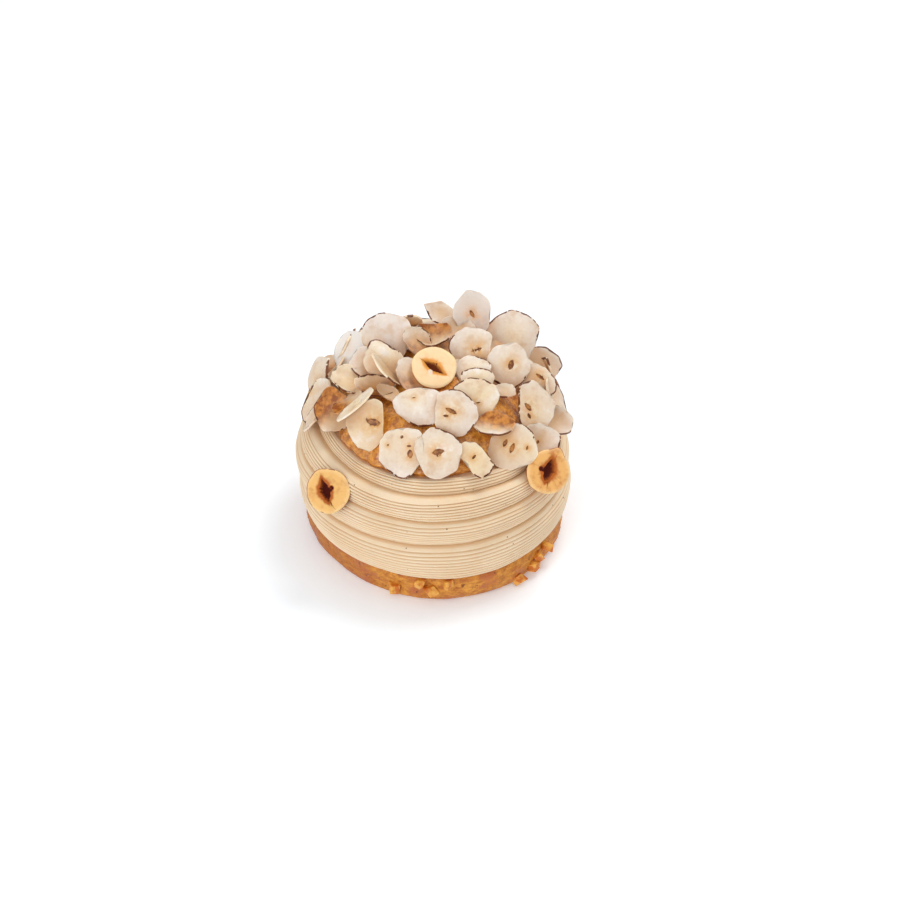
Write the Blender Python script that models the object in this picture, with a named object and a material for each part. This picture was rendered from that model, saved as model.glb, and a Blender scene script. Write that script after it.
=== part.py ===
"""An individual paris-brest: a choux base with chopped hazelnut baked on, four piped bands of ribbed
praline cream, a choux cap under a heap of hazelnut slices, and three halves of hazelnut.

The origin is on the table under the middle of the base, +Z is up and -Y is the front.
"""

import math
import random

import bmesh
import bpy
import numpy as np
from mathutils import Vector, noise

MM = 0.001
GAP = 0.3 * MM  # left between pieces that touch

# The choux base: a flat foot, a swollen side and a flat top under the cream.
BASE_FOOT_R = 34.6 * MM
BASE_SIDE_R = 39.2 * MM
BASE_H = 9.8 * MM
BASE_STEPS = 48
BASE_RINGS = 8
BASE_FULLNESS = 0.8
BASE_LEAN = (-0.6 * MM, 0.6 * MM)
BASE_DENT = (2.3 * MM, math.radians(-132), math.radians(32))  # depth, way and half width
CRUST_RELIEF = 0.5 * MM

# The cream: where each piped band starts, its bulge and its ribs.
# How full each band is runs from 1.4, drawn in above and below, to 2.4, nearly square. Its smooth root and
# its smooth lip are shares of its height.
#            radius       height      bulge      full  ribs  root  lip
BANDS = (
    (38.7 * MM, 10.1 * MM, 2.1 * MM, 1.7, 10, 0.00, 0.05),
    (38.5 * MM, 23.6 * MM, 2.4 * MM, 1.7, 7, 0.20, 0.04),
    (38.3 * MM, 33.0 * MM, 2.7 * MM, 2.3, 7, 0.00, 0.20),
    (34.5 * MM, 39.4 * MM, 1.7 * MM, 2.3, 5, 0.00, 0.08),
)
CREAM_RIM = (31.6 * MM, 43.1 * MM)
CREAM_FLAT = 42.7 * MM
RIB_DEPTH = 0.5 * MM
FOOT_DENT = (0.5, 0.25)  # how far the dent pushes the cream's foot in, and up
CREAM_STEPS = 38
# How far each groove is off centre, and how much higher it is on one side: (towards +X, towards +Y).
SHIFTS = ((-0.5, 0.0), (-1.1, 0.0), (-1.2, 0.0), (-0.4, -0.1), (0.1, 0.0))
TILTS = ((0.0, 0.0), (0.2, 0.1), (-0.4, 0.2), (-1.0, -0.4), (-0.3, -0.2))

# The choux cap: a rim that sits on the cream and a full dome.
CAP_SEAT = CREAM_FLAT + GAP
CAP_SEAT_R = 29.5 * MM
CAP_RIM_R = 32.2 * MM
CAP_RIM_H = 2.2 * MM
CAP_TOP = 58.0 * MM
CAP_STEPS = 36
CAP_RINGS = 6

# A half hazelnut, and where the three lie: the middle of the cut face, and the way that it faces.
NUT_R = 6.6 * MM
NUT_DEPTH = 6.2 * MM
HOLLOW = (1.5 * MM, 2.7 * MM, 2.4 * MM)  # half width, half length, depth
NUT_STEPS = 14
NUTS = {
    "hazelnut_half_top": ((-0.7, -2.9, 61.9), (0.12, -0.50, 0.86), 35),
    "hazelnut_half_left": ((-31.8, -28.3, 36.0), (-0.28, -0.75, 0.60), 12),
    "hazelnut_half_right": ((32.7, -25.6, 41.0), (0.30, -0.74, 0.60), -42),
}

# The line of sight that the slices' places are given along: the photograph's own.
SIGHT_RISE = math.radians(40)
SIGHT_REACH = 1.0
SIGHT_AIM = Vector((3.9 * MM, 0, 27.8 * MM))
SIGHT_RIGHT = Vector((1, 0, 0))
SIGHT_UP = Vector((0, math.sin(SIGHT_RISE), math.cos(SIGHT_RISE)))
SIGHT_BACK = Vector((0, -math.cos(SIGHT_RISE), math.sin(SIGHT_RISE)))
FRAME_MIDDLE = 450
PX_PER_M = 3330

# The heap of hazelnut slices, and how they lie on the cap and on each other.
SLICE_THICK = 1.0 * MM
SLICE_STEPS = 9
LAYER = 0.7 * MM  # what each slice adds to the pile under the next
PILE_R = 37.5 * MM  # no slice's middle lies further out
# The ground of the slices that overhang the cap: the distance from the axis and the height.
CREAM_SLOPE_R = (32.2 * MM, 39.0 * MM, 42.0 * MM)
CREAM_SLOPE_Z = (45.2 * MM, 40.5 * MM, 20.0 * MM)
# How far a slice's middle is lifted as it stands up from the cap, as shares of half its length.
LIFT = (0.25, 0.45)
FROM_ABOVE = 60 * MM

# Hazelnut slices that show, from the back to the front: the pixel of the middle, length and width in
# mm, how far the length is turned from upright, the compass way it faces (0 is +X, -90 the front), how
# far it leans from lying flat, and its straight sides as (way in the photograph, share cut off).
SHOWN = (
    (350, 330, 12.5, 11.0, 0, -150, 42, ()),
    (346, 343, 13.0, 11.0, 30, 165, 68, ()),
    (355, 340, 12.0, 9.0, 20, 168, 66, ()),
    (549, 345, 9.0, 6.5, 10, 20, 75, ()),
    (513, 332, 15.8, 15.6, 40, -80, 46, ()),
    (418, 341, 12.0, 9.5, 30, -75, 40, ()),
    (386, 337, 15.5, 15.2, 30, -110, 42, ()),
    (433, 334, 11.0, 9.0, 90, -95, 34, ((90, 0.2),)),
    (440, 315, 12.0, 8.0, 90, 80, 60, ((100, 0.2),)),
    (472, 307, 14.0, 11.2, 0, -92, 60, ()),
    (411, 313, 8.5, 6.0, -50, 100, 66, ()),
    (423, 322, 15.0, 12.0, 90, 95, 27, ()),
    (458, 328, 9.5, 7.5, 80, -90, 28, ()),
    (541, 363, 12.5, 11.0, 60, -60, 40, ()),
    (473, 371, 10.5, 10.5, 30, -95, 24, ()),
    (472, 348, 13.6, 12.6, 60, -100, 42, ((-10, 0.1),)),
    (508, 365, 13.2, 13.0, 0, -85, 48, ()),
    (385, 361, 14.0, 10.6, 35, -70, 44, ()),
    (386, 371, 13.0, 11.0, 0, 19, 53, ()),
    (376, 387, 12.0, 8.2, 80, -95, 10, ()),
    (352, 382, 14.0, 8.4, 68, -100, 12, ()),
    (370, 365, 13.0, 9.6, 78, -110, 26, ()),
    (343, 362, 9.0, 5.5, 82, -100, 8, ()),
    (317, 376, 14.5, 12.0, 0, -165, 66, ((0, 0.08),)),
    (536, 382, 12.5, 10.5, 30, -70, 42, ()),
    (555, 397, 14.0, 11.0, 0, -5, 66, ()),
    (411, 375, 11.0, 9.0, 0, -60, 30, ()),
    (478, 379, 9.8, 7.4, 80, -90, 30, ()),
    (504, 392, 7.5, 5.5, 75, -80, 14, ((-80, 0.2),)),
    (318, 402, 14.5, 12.0, 0, -160, 56, ()),
    (333, 411, 13.0, 11.2, 10, -95, 43, ()),
    (315, 417, 10.5, 7.0, 10, 178, 56, ()),
    (533, 407, 15.4, 12.4, 0, -62, 49, ((180, 0.16),)),
    (475, 398, 14.0, 12.6, 80, -80, 36, ((200, 0.12),)),
    (420, 406, 15.4, 11.6, 85, -100, 38, ()),
    (355, 404, 9.5, 7.5, 20, 175, 46, ()),
    (358, 411, 13.0, 10.5, 28, 172, 40, ()),
    (391, 394, 10.0, 4.0, 66, -105, 16, ()),
    (455, 413, 14.4, 12.6, 10, -88, 46, ()),
    (554, 421, 11.5, 9.0, 60, -60, 38, ()),
    (494, 425, 11.8, 8.0, 88, -85, 18, ()),
    (368, 424, 14.8, 12.2, 0, -105, 48, ((0, 0.14),)),
    (541, 443, 12.6, 10.8, 40, -70, 44, ()),
    (475, 459, 12.6, 7.8, 38, -84, 50, ((218, 0.12), (38, 0.05), (128, 0.05))),
    (402, 451, 14.6, 13.2, -10, -98, 49, ()),
    (438, 453, 14.6, 13.2, 15, -90, 49, ()),
    (513, 446, 14.0, 14.4, 30, -80, 50, ()),
)

# Slices of the side that the photograph doesn't show, in rings about the axis: the radius in mm, how many,
# how far they lean from lying flat, and how far the ring runs past the left and the right.
HIDDEN_RINGS = ((33.0, 7, 46, -10), (27.0, 5, 36, -15), (20.0, 4, 24, -20), (10.0, 1, 10, -20))
FAR_CUT_WAY = 150

# Chopped hazelnut on the base: the angle round the base in degrees, height in mm and size in mm.
BITS_SHOWN = (
    (-110, 3.2, 3.9), (-98, 7.6, 4.2), (-93, 5.4, 4.4), (-85, 7.8, 3.4), (-50, 2.4, 3.9),
    (-41, 3.6, 3.8), (-37, 5.6, 3.4), (-31, 6.8, 4.4),
)
BITS_HIDDEN = 9
BITS_FROM, BITS_TO = 10, 170


def clear_scene():
    for obj in list(bpy.data.objects):
        bpy.data.objects.remove(obj, do_unlink=True)


def material(name, colour, roughness):
    finish = bpy.data.materials.new(name)
    finish.use_nodes = True
    shader = finish.node_tree.nodes["Principled BSDF"]
    shader.inputs["Base Color"].default_value = (*colour, 1)
    shader.inputs["Roughness"].default_value = roughness
    shader.inputs["Metallic"].default_value = 0
    return finish


def object_from(bm, name, finish=None):
    bmesh.ops.recalc_face_normals(bm, faces=bm.faces)
    mesh = bpy.data.meshes.new(name)
    bm.to_mesh(mesh)
    bm.free()
    mesh.shade_smooth()
    mesh.set_sharp_from_angle(angle=math.radians(35))
    obj = bpy.data.objects.new(name, mesh)
    bpy.context.scene.collection.objects.link(obj)
    if finish:
        obj.data.materials.append(finish)
    return obj


def turned(profile_at, steps):
    """A closed turned body: profile_at(angle) runs from the axis below, out and up, to the axis above."""
    bm = bmesh.new()
    columns = []
    for step in range(steps):
        angle = math.tau * step / steps
        points = profile_at(angle)
        columns.append([
            bm.verts.new((r * math.cos(angle) + dx, r * math.sin(angle) + dy, z))
            for r, z, dx, dy in points[1:-1]
        ])
    low, high = (bm.verts.new((0, 0, profile_at(0)[end][1])) for end in (0, -1))
    for step, column in enumerate(columns):
        after = columns[(step + 1) % steps]
        bm.faces.new((low, after[0], column[0]))
        bm.faces.new((high, column[-1], after[-1]))
        for i in range(len(column) - 1):
            bm.faces.new((column[i], after[i], after[i + 1], column[i + 1]))
    return bm


def crust(point, depth):
    """The uneven skin of baked choux, as a distance in or out."""
    broad = noise.noise(point * 70)
    fine = noise.noise(point * 210 + Vector((3, 5, 7)))
    return depth * (broad + 0.45 * fine)


def side_curve(inner, outer, low, high, share, turn):
    """Radius and height on a swollen side, at a turn of -90 to 90 degrees from its foot to its top."""
    middle = (low + high) / 2
    return inner + (outer - inner) * abs(math.cos(turn)) ** share, middle + (high - low) / 2 * math.sin(turn)


def dent(angle):
    """How far the base, and the cream's foot on it, are pushed in at the front left."""
    depth, way, half_width = BASE_DENT
    return depth * math.exp(-((math.remainder(angle - way, math.tau) / half_width) ** 2))


def base_lean(angle):
    """How far the base swells to the left and the back, less its dent."""
    return BASE_LEAN[0] * math.cos(angle) + BASE_LEAN[1] * math.sin(angle) - dent(angle)


def base_profile(angle):
    points = [(0, 0, 0, 0), (BASE_FOOT_R * 0.6, 0, 0, 0)]
    for ring in range(BASE_RINGS + 1):
        turn = math.pi * (ring / BASE_RINGS - 0.5)
        r, z = side_curve(BASE_FOOT_R, BASE_SIDE_R, 0, BASE_H, BASE_FULLNESS, turn)
        place = Vector((r * math.cos(angle), r * math.sin(angle), z))
        swell = math.cos(turn)
        r += swell * (crust(place, 2 * CRUST_RELIEF) + base_lean(angle))
        points.append((r, z, 0, 0))
    points += [(BASE_FOOT_R * 0.6, BASE_H, 0, 0), (0, BASE_H, 0, 0)]
    return points


def groove(index, angle):
    """Radius, height and sideways shift of the groove under a band, or of the rim above the last."""
    r, z = BANDS[index][:2] if index < len(BANDS) else CREAM_RIM
    tilt = TILTS[index]
    z += MM * (tilt[0] * math.cos(angle) + tilt[1] * math.sin(angle))
    r += MM * 0.35 * math.cos(3 * angle + 1.7 * index) + MM * 0.2 * math.cos(5 * angle + index)
    if index == 0:
        r -= FOOT_DENT[0] * dent(angle)
        z += FOOT_DENT[1] * dent(angle)
    return r, z, SHIFTS[index][0] * MM, SHIFTS[index][1] * MM


def lobe(t, full):
    """How far a band stands out of its chord, as a share of its bulge: round, and fullest near its top."""
    return (1 - abs(2 * t**1.45 - 1) ** full) ** (1 / full)


def band_point(index, angle, t, proud):
    """A point on a band's outline, t of the way up it and this far out of its smooth curve."""
    r0, z0, x0, y0 = groove(index, angle)
    r1, z1, x1, y1 = groove(index + 1, angle)
    chord = Vector((r1 - r0, z1 - z0))
    out = Vector((chord.y, -chord.x)).normalized()
    bulge, full = BANDS[index][2:4]
    offset = bulge * lobe(t, full) + proud
    return (
        r0 + chord.x * t + out.x * offset,
        z0 + chord.y * t + out.y * offset,
        x0 + (x1 - x0) * t,
        y0 + (y1 - y0) * t,
    )


def band_points(index, angle):
    """The outline of one band: its groove, root, ribs, then a lip that rolls into the groove above."""
    ribs, root, lip = BANDS[index][4:]
    points = [groove(index, angle)]
    if root:
        points.append(band_point(index, angle, root / 2, 0))
    for i in range(1, 2 * ribs):
        t = root + i / (2 * ribs) * (1 - lip - root)
        points.append(band_point(index, angle, t, RIB_DEPTH * (i % 2 - 0.5) * min(1, 8 * t)))
    for share in (1, 0.35):
        points.append(band_point(index, angle, 1 - lip * share, 0))
    return points


def cream_profile(angle):
    low = BASE_H + GAP
    points = [(0, low, 0, 0), (BANDS[0][0] - 4 * MM, low, 0, 0)]
    for index in range(len(BANDS)):
        points += band_points(index, angle)
    points.append(groove(len(BANDS), angle))
    points += [(CAP_SEAT_R - MM, CREAM_FLAT, 0, 0), (0, CREAM_FLAT, 0, 0)]
    return points


def cream_clearance(angle):
    """A smooth outline a little outside the cream, to keep the slices clear of it."""
    points = [(0, BASE_H, 0, 0)]
    for index in range(len(BANDS)):
        for t in (0.15, 0.45, 0.75, 0.95):
            points.append(band_point(index, angle, t, RIB_DEPTH / 2 + GAP))
    points.append((CREAM_RIM[0], CREAM_RIM[1] + GAP, 0, 0))
    low = CAP_SEAT - GAP / 2
    return points + [(CAP_SEAT_R - 3 * MM, low, 0, 0), (0, low, 0, 0)]


def cap_height(r):
    """The height of the cap's dome at a distance from the axis."""
    share = np.clip(r / CAP_RIM_R, 0, 1)
    low = CAP_SEAT + CAP_RIM_H
    return low + (CAP_TOP - low) * (1 - share**2.8) ** 0.7


def cap_profile(angle):
    low = CAP_SEAT
    points = [(0, low, 0, 0), (CAP_SEAT_R - 2 * MM, low, 0, 0), (CAP_SEAT_R + MM, low + 0.7 * MM, 0, 0)]
    for ring in range(CAP_RINGS):
        r = CAP_RIM_R * math.cos(math.pi / 2 * ring / CAP_RINGS)
        place = Vector((r * math.cos(angle), r * math.sin(angle), cap_height(r)))
        points.append((r + crust(place, CRUST_RELIEF), cap_height(r) + crust(place, CRUST_RELIEF), 0, 0))
    points.append((0, CAP_TOP, 0, 0))
    return points


def facing(way):
    """Three axes for a flat piece that faces this way: right, up the slope, and out of it."""
    out = Vector(way).normalized()
    across = Vector((0, 0, 1)).cross(out)
    across = across.normalized() if across.length > 1e-6 else Vector((1, 0, 0))
    return across, out.cross(across), out


def nut_outline(angle, grow):
    """A half hazelnut's rim: nearly round, a little drawn out at its tip."""
    tip = math.exp(-((math.remainder(angle - math.pi / 2, math.tau)) / 0.5) ** 2)
    return NUT_R * (1 + 0.03 * math.cos(2 * angle) + 0.07 * tip) + grow


def half_nut(place, way, spin, grow=0.0):
    """A half hazelnut with a spindle-shaped hollow in its cut face, or a plain grown one to cut with."""
    across, up, out = facing(way)
    turn = math.radians(spin)
    across, up = across * math.cos(turn) + up * math.sin(turn), up * math.cos(turn) - across * math.sin(turn)
    middle = Vector(place) * MM
    bm = bmesh.new()

    def ring(scale, depth):
        verts = []
        for step in range(NUT_STEPS):
            angle = math.tau * step / NUT_STEPS
            r = nut_outline(angle, grow) * scale
            verts.append(bm.verts.new(
                middle + across * (r * math.cos(angle)) + up * (r * math.sin(angle)) - out * depth
            ))
        return verts

    def hollow_ring(scale, depth):
        verts = []
        for step in range(NUT_STEPS):
            angle = math.tau * step / NUT_STEPS
            x = HOLLOW[0] * scale * math.copysign(abs(math.cos(angle)) ** 1.3, math.cos(angle))
            y = HOLLOW[1] * scale * math.copysign(abs(math.sin(angle)) ** 1.3, math.sin(angle))
            verts.append(bm.verts.new(middle + across * x + up * y - out * depth))
        return verts

    rings = []
    if grow:
        rings.append([bm.verts.new(middle + out * grow)] * NUT_STEPS)
        rings.append(ring(1, -grow))
    else:
        rings.append([bm.verts.new(middle - out * HOLLOW[2])] * NUT_STEPS)
        rings.append(hollow_ring(0.55, HOLLOW[2] * 0.8))
        rings.append(hollow_ring(1, 0))
        rings.append(ring(0.95, 0))
    for share in (0.08, 0.38, 0.68, 0.9):
        depth = (NUT_DEPTH + grow) * share
        rings.append(ring(math.sqrt(1 - share**2.2), depth))
    rings.append([bm.verts.new(middle - out * (NUT_DEPTH + grow))] * NUT_STEPS)
    for inner, outer in zip(rings, rings[1:]):
        for i in range(NUT_STEPS):
            j = (i + 1) % NUT_STEPS
            corners = list(dict.fromkeys((inner[i], inner[j], outer[j], outer[i])))
            bm.faces.new(corners)
    return bm


class Pile:
    """The cap and the slices laid on it so far, as heights on a grid seen from above."""

    CELL = 0.5 * MM
    HALF = 50 * MM
    STEP = 0.2 * MM
    STEPS = 900

    def __init__(self):
        count = int(2 * self.HALF / self.CELL)
        across = (np.arange(count) + 0.5) * self.CELL - self.HALF
        x, y = np.meshgrid(across, across, indexing="ij")
        r = np.hypot(x, y)
        self.height = np.where(r < CAP_RIM_R, cap_height(r), np.interp(r, CREAM_SLOPE_R, CREAM_SLOPE_Z))

    def cells(self, points):
        found = ((points[:, :2] + self.HALF) / self.CELL).astype(int)
        return tuple(np.clip(found, 0, len(self.height) - 1).T)

    def rest(self, place, out, length):
        """How high the middle of a slice lies over the pile, so that its lower edge digs in a little."""
        r = max(Vector(place[:2]).length, 2 * MM)
        slope = float(cap_height(r + MM) - cap_height(r - MM)) / (2 * MM)
        normal = Vector((-slope * place.x / r, -slope * place.y / r, 1)).normalized()
        rise = math.sqrt(max(0, 1 - normal.dot(out) ** 2))
        return SLICE_THICK / 2 + length / 2 * rise * (LIFT[0] + LIFT[1] * rise)

    def settle(self, start, line, out, length):
        """Where the middle of a slice comes to rest on its way down the line, or under its nearest point."""
        least = None
        for step in range(self.STEPS):
            place = start + line * (step * self.STEP)
            if Vector(place[:2]).length > PILE_R:
                continue
            ground = self.height[self.cells(np.array([place]))][0]
            gap = place.z - float(ground) - self.rest(place, out, length)
            if gap <= 0:
                return place
            if least is None or gap < least:
                least, nearest = gap, place
        return nearest - Vector((0, 0, least))

    def cover(self, points):
        footprint = np.zeros(self.height.shape, bool)
        footprint[self.cells(points)] = True
        self.height[footprint] += LAYER


def in_plane(way, axes):
    """A way in the photograph, in degrees, as a unit direction in a flat piece's own plane."""
    seen = SIGHT_RIGHT * math.cos(math.radians(way)) + SIGHT_UP * math.sin(math.radians(way))
    return Vector((seen.dot(axes[0]), seen.dot(axes[1]))).normalized()


def slice_outline(length, width, cuts, axes, seed):
    """The outline of a slice in its own plane: an uneven oval, with its straight sides cut off."""
    lean = random.Random(seed).uniform(0, math.tau)
    outline = []
    for step in range(SLICE_STEPS):
        angle = math.tau * step / SLICE_STEPS
        swell = 1 + 0.05 * math.cos(3 * angle + lean) + 0.03 * math.cos(5 * angle + 2 * lean)
        outline.append(Vector((width / 2 * swell * math.cos(angle), length / 2 * swell * math.sin(angle))))
    for way, share in cuts:
        side = in_plane(way, axes)
        limit = max(point.dot(side) for point in outline) * (1 - 2 * share)
        outline = [point - side * max(0, point.dot(side) - limit) for point in outline]
    return outline


def slice_axes(spin, compass, lean):
    """Right, long way and out of a slice that leans from flat by lean degrees towards compass."""
    lean, compass, turn = math.radians(lean), math.radians(compass), math.radians(spin)
    out = Vector((math.sin(lean) * math.cos(compass), math.sin(lean) * math.sin(compass), math.cos(lean)))
    across, up, out = facing(out)
    return across * math.cos(turn) + up * math.sin(turn), up * math.cos(turn) - across * math.sin(turn), out


def slice_samples(length, width, axes):
    """Points spread over the inner part of a slice, about its middle."""
    u, v = np.meshgrid(np.linspace(-1, 1, 41), np.linspace(-1, 1, 41))
    inside = np.hypot(u, v) <= 0.85
    u, v = u[inside] * width / 2, v[inside] * length / 2
    return u[:, None] * np.array(axes[0]) + v[:, None] * np.array(axes[1])


def slice_mesh(outline, axes, middle):
    """A thin closed slice, both faces split into triangles alike."""
    across, up, out = axes
    bm = bmesh.new()
    hubs, rims = [], []
    for side in (1, -1):
        shift = out * (side * SLICE_THICK / 2)
        hubs.append(bm.verts.new(middle + shift))
        rims.append([bm.verts.new(middle + across * x + up * y + shift) for x, y in outline])
    count = len(outline)
    for i in range(count):
        j = (i + 1) % count
        bm.faces.new((hubs[0], rims[0][i], rims[0][j]))
        bm.faces.new((hubs[1], rims[1][j], rims[1][i]))
        bm.faces.new((rims[0][i], rims[1][i], rims[1][j]))
        bm.faces.new((rims[0][i], rims[1][j], rims[0][j]))
    return bm


def sight_line(px, py):
    """The eye, and the way from it through a pixel of the photograph."""
    eye = SIGHT_AIM + SIGHT_BACK * SIGHT_REACH
    right, up = (px - FRAME_MIDDLE) / PX_PER_M, (FRAME_MIDDLE - py) / PX_PER_M
    seen = SIGHT_AIM + SIGHT_RIGHT * right + SIGHT_UP * up
    return eye, (seen - eye).normalized()


def hidden_slices():
    """Slices of the far side, as (start, line, length, width, spin, compass, lean, cuts)."""
    draw = random.Random(12)
    down = Vector((0, 0, -1))
    found = []
    for radius, count, lean, past in HIDDEN_RINGS:
        for i in range(count):
            share = (i + 0.5 + draw.uniform(-0.2, 0.2)) / count
            angle = math.radians((180 + 2 * past) * share - past)
            r = (radius + draw.uniform(-1.2, 1.2)) * MM
            start = Vector((r * math.cos(angle), r * math.sin(angle), CAP_TOP + FROM_ABOVE))
            found.append((
                start, down, draw.uniform(12.5, 15), draw.uniform(11, 13.5),
                draw.uniform(0, 180), math.degrees(angle) + draw.uniform(-25, 25),
                lean + draw.uniform(-12, 12), ((FAR_CUT_WAY, draw.choice((0, 0, 0.15))),),
            ))
    return found


def shown_slices():
    found = []
    for px, py, *row in SHOWN:
        eye, line = sight_line(px, py)
        found.append((eye + line * (SIGHT_REACH - FROM_ABOVE), line, *row))
    return found


def heaped_slices():
    """Every slice as a mesh, each at rest on the cap and on those before it."""
    pile = Pile()
    meshes = []
    for seed, (start, line, *row) in enumerate(hidden_slices() + shown_slices()):
        length, width, spin, compass, lean, cuts = row
        length, width = length * MM, width * MM
        axes = slice_axes(spin, compass, lean)
        middle = pile.settle(start, line, axes[2], length)
        pile.cover(slice_samples(length, width, axes) + np.array(middle))
        meshes.append(slice_mesh(slice_outline(length, width, cuts, axes, seed), axes, middle))
    return meshes


def nut_bit(angle, height, size, seed):
    """A chopped piece of hazelnut, half sunk in the side of the base."""
    draw = random.Random(seed)
    way = math.radians(angle)
    r = BASE_SIDE_R + base_lean(way) + 0.3 * MM
    middle = Vector((r * math.cos(way), r * math.sin(way), max(height, size * 0.56) * MM))
    bm = bmesh.new()
    for _ in range(12):
        offset = Vector([draw.uniform(-1, 1) for _ in range(3)]).normalized()
        bm.verts.new(middle + offset * (size * MM * draw.uniform(0.46, 0.55)))
    hull = bmesh.ops.convex_hull(bm, input=bm.verts)
    bmesh.ops.delete(bm, geom=[v for v in hull["geom_interior"]], context="VERTS")
    return bm


def evaluated(obj):
    """Puts the object's modifiers into its mesh."""
    graph = bpy.context.evaluated_depsgraph_get()
    mesh = bpy.data.meshes.new_from_object(obj.evaluated_get(graph))
    obj.modifiers.clear()
    obj.data = mesh
    return obj


def boolean(obj, operation, pieces, solver="EXACT"):
    """Joins the pieces to the object, or cuts them from it, and removes them."""
    group = bpy.data.collections.new("pieces")
    bpy.context.scene.collection.children.link(group)
    for piece in pieces:
        bpy.context.scene.collection.objects.unlink(piece)
        group.objects.link(piece)
    step = obj.modifiers.new(operation.lower(), "BOOLEAN")
    step.operation = operation
    step.operand_type = "COLLECTION"
    step.collection = group
    step.solver = solver
    evaluated(obj)
    for piece in list(group.objects):
        bpy.data.objects.remove(piece, do_unlink=True)
    bpy.data.collections.remove(group)
    return obj


def keep_outer_shell(obj):
    """Drops loose scraps, and the shells of hollows that joining has sealed."""
    bm = bmesh.new()
    bm.from_mesh(obj.data)
    bmesh.ops.triangulate(bm, faces=bm.faces)
    unseen = set(bm.verts)
    shells = []
    while unseen:
        reached = [unseen.pop()]
        shell = set(reached)
        while reached:
            for edge in reached.pop().link_edges:
                for vert in edge.verts:
                    if vert not in shell:
                        shell.add(vert)
                        reached.append(vert)
        unseen -= shell
        shells.append(shell)
    shells.sort(key=len)
    for shell in shells[:-1]:
        bmesh.ops.delete(bm, geom=list(shell), context="VERTS")
    bm.to_mesh(obj.data)
    bm.free()


def build():
    clear_scene()
    choux = material("baked_choux", (0.55, 0.26, 0.08), 0.7)
    cream = material("praline_cream", (0.80, 0.64, 0.42), 0.55)
    flesh = material("toasted_hazelnut", (0.80, 0.52, 0.22), 0.5)
    slices = material("hazelnut_slices", (0.80, 0.72, 0.60), 0.5)

    base = object_from(turned(base_profile, BASE_STEPS), "choux_base", choux)
    draw = random.Random(4)
    bits = list(BITS_SHOWN)
    for i in range(BITS_HIDDEN):
        angle = BITS_FROM + (BITS_TO - BITS_FROM) * (i + draw.random() * 0.7) / BITS_HIDDEN
        bits.append((angle, draw.uniform(2.5, 7.5), draw.uniform(2.8, 3.8)))
    boolean(base, "UNION", [object_from(nut_bit(*bit, seed), "bit") for seed, bit in enumerate(bits)])
    keep_outer_shell(base)

    piped = object_from(turned(cream_profile, CREAM_STEPS), "praline_cream", cream)
    sockets = [half_nut(*NUTS[name], grow=GAP) for name in ("hazelnut_half_left", "hazelnut_half_right")]
    boolean(piped, "DIFFERENCE", [object_from(bm, "socket") for bm in sockets])
    keep_outer_shell(piped)

    cap = object_from(turned(cap_profile, CAP_STEPS), "choux_cap_with_slices", slices)
    boolean(cap, "UNION", [object_from(bm, "slice") for bm in heaped_slices()])
    cutters = [turned(cream_clearance, CREAM_STEPS)] + [half_nut(*nut, grow=GAP) for nut in NUTS.values()]
    boolean(cap, "DIFFERENCE", [object_from(bm, "cutter") for bm in cutters])
    keep_outer_shell(cap)

    for name, nut in NUTS.items():
        object_from(half_nut(*nut), name, flesh)


build()
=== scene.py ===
"""A paris-brest as it looks: scaly choux, ribbed praline cream, and hazelnut slices and halves."""

import itertools
import math
import random

import bmesh
import bpy
import numpy as np
from mathutils import Euler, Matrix, Vector, geometry, noise


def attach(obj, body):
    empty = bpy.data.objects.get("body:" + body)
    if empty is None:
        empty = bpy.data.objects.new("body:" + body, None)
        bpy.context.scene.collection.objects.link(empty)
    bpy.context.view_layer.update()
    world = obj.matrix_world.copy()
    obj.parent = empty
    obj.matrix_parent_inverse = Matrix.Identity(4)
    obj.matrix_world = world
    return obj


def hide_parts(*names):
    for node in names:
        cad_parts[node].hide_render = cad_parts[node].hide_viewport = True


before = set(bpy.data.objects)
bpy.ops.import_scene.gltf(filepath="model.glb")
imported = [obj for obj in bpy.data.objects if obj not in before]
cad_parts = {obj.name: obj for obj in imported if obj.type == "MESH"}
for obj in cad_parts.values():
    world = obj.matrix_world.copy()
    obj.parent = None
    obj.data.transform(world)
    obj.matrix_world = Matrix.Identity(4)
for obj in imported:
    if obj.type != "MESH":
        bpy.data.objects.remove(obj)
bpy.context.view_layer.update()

# The choux base: a round of choux paste, baked until its crust is scaly and golden brown. It is the foot
# of the pastry, swells a little more at the left and the back, and is dented at the front left. The cream
# is piped straight onto it.
MM = 0.001
BASE_FOOT_R = 34.6 * MM
BASE_SIDE_R = 39.2 * MM
BASE_H = 9.8 * MM
BASE_FULLNESS = 0.8
BASE_LEAN = (-1.1 * MM, 0.6 * MM)
BASE_DENT = (3.4 * MM, math.radians(-127), math.radians(35))  # depth, way and half width
CRUST_RELIEF = 0.5 * MM
BASE_STEPS = 900
BASE_RINGS = 64
SCALE_SIZE = 1.0 * MM
SCALE_DEPTH = 0.3 * MM
SCALE_SEED = 5


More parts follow.
